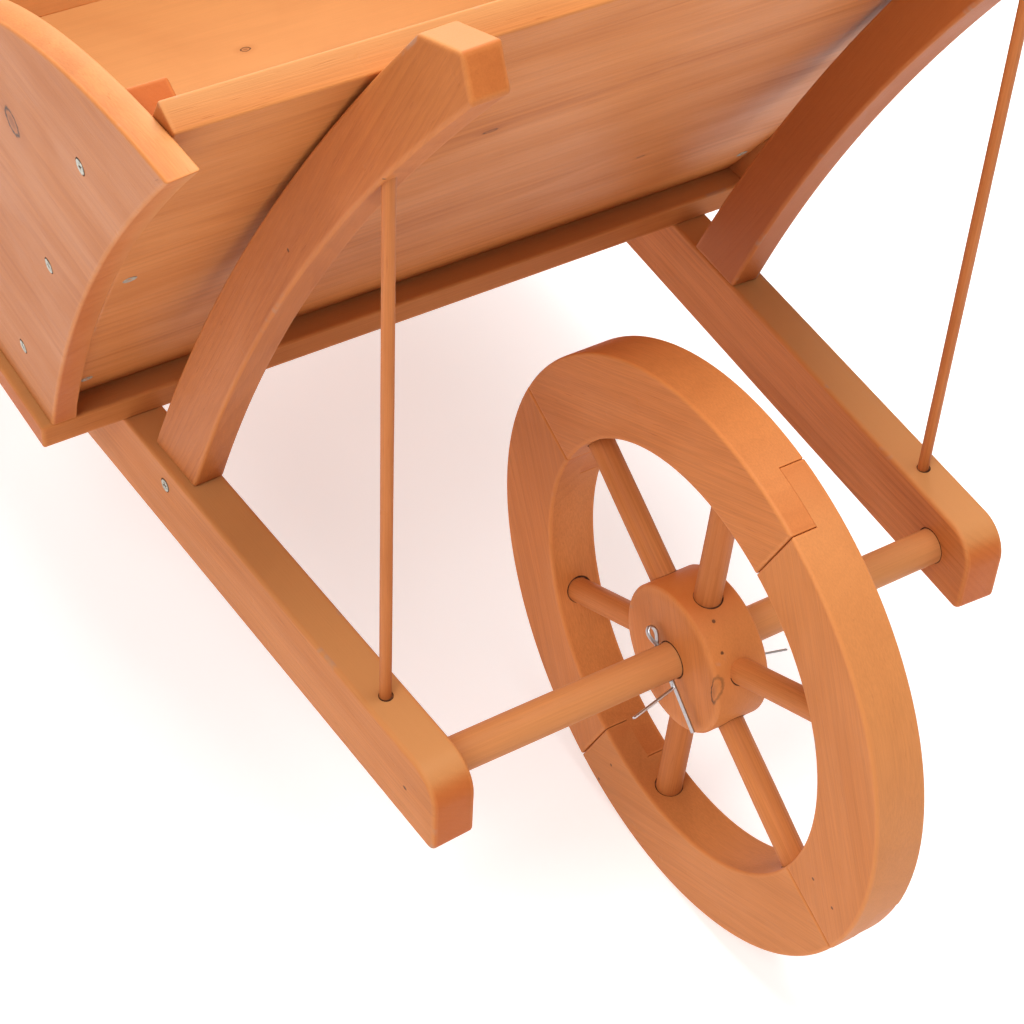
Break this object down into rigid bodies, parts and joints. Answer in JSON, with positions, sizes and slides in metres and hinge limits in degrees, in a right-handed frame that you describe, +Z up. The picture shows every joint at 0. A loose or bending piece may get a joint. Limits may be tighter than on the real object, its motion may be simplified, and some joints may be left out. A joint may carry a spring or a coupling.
{
  "type": "wheelbarrow",
  "caption": "Small decorative wooden wheelbarrow: a spoked wooden wheel between two handle rails, with a splayed board tray held up by curved braces and thin rods.",
  "frame": {"origin": "on the ground, under the middle of the object's overall box", "axes": "+Z up; +Y from the wheel towards the handles; +X completes the right-handed frame, so -X is the side on the left of someone who stands in front of the wheel and looks back along the tray"},
  "size_m": [0.5232, 1.06, 0.5765],
  "materials": {
    "stained_boards": "orange-brown stain on fir, satin, grain along each board",
    "stained_battens": "orange-brown stain on planed fir battens, satin, edges eased",
    "stained_dowels": "orange-brown stain on turned dowel, satin",
    "stained_wheel_wood": "orange-brown stain on fir, satin, scuffed grey near the tread",
    "pin_steel": "plain bright wire",
    "screw_zinc": "dull zinc, stained over with the wood"
  },
  "bodies": {
    "chassis": {"axle": "stained_dowels", "split_pin_left": "pin_steel", "split_pin_right": "pin_steel", "rail_left": "stained_battens", "brace_left": "stained_battens", "tie_rod_left": "stained_dowels", "side_panel_left": "stained_boards", "cleat_front_left": "stained_boards", "cleat_rear_left": "stained_boards", "leg_left": "stained_battens", "rail_right": "stained_battens", "brace_right": "stained_battens", "tie_rod_right": "stained_dowels", "side_panel_right": "stained_boards", "cleat_front_right": "stained_boards", "cleat_rear_right": "stained_boards", "leg_right": "stained_battens", "tray_floor": "stained_boards", "front_panel": "stained_boards", "rear_panel": "stained_boards", "leg_stretcher": "stained_dowels", "brace_screw_left": "screw_zinc", "floor_screw_front_left": "screw_zinc", "floor_screw_rear_left": "screw_zinc", "side_screw_front_low_left": "screw_zinc", "side_screw_front_middle_left": "screw_zinc", "side_screw_front_high_left": "screw_zinc", "side_screw_rear_low_left": "screw_zinc", "side_screw_rear_high_left": "screw_zinc", "front_screw_low_left": "screw_zinc", "front_screw_high_left": "screw_zinc", "rear_screw_low_left": "screw_zinc", "rear_screw_high_left": "screw_zinc", "leg_screw_low_left": "screw_zinc", "leg_screw_high_left": "screw_zinc", "brace_screw_right": "screw_zinc", "floor_screw_front_right": "screw_zinc", "floor_screw_rear_right": "screw_zinc", "side_screw_front_low_right": "screw_zinc", "side_screw_front_middle_right": "screw_zinc", "side_screw_front_high_right": "screw_zinc", "side_screw_rear_low_right": "screw_zinc", "side_screw_rear_high_right": "screw_zinc", "front_screw_low_right": "screw_zinc", "front_screw_high_right": "screw_zinc", "rear_screw_low_right": "screw_zinc", "rear_screw_high_right": "screw_zinc", "leg_screw_low_right": "screw_zinc", "leg_screw_high_right": "screw_zinc"},
    "wheel": {"hub": "stained_wheel_wood", "spoke_1": "stained_dowels", "spoke_2": "stained_dowels", "spoke_3": "stained_dowels", "spoke_4": "stained_dowels", "spoke_5": "stained_dowels", "spoke_6": "stained_dowels", "felloe_1": "stained_wheel_wood", "felloe_2": "stained_wheel_wood", "felloe_3": "stained_wheel_wood", "felloe_4": "stained_wheel_wood"}
  },
  "joints": [
    {"name": "wheel_spin", "type": "hinge", "parent": "chassis", "child": "wheel", "pos_m": [0, -0.37, 0.16], "axis": [1, 0, 0], "continuous": true}
  ]
}
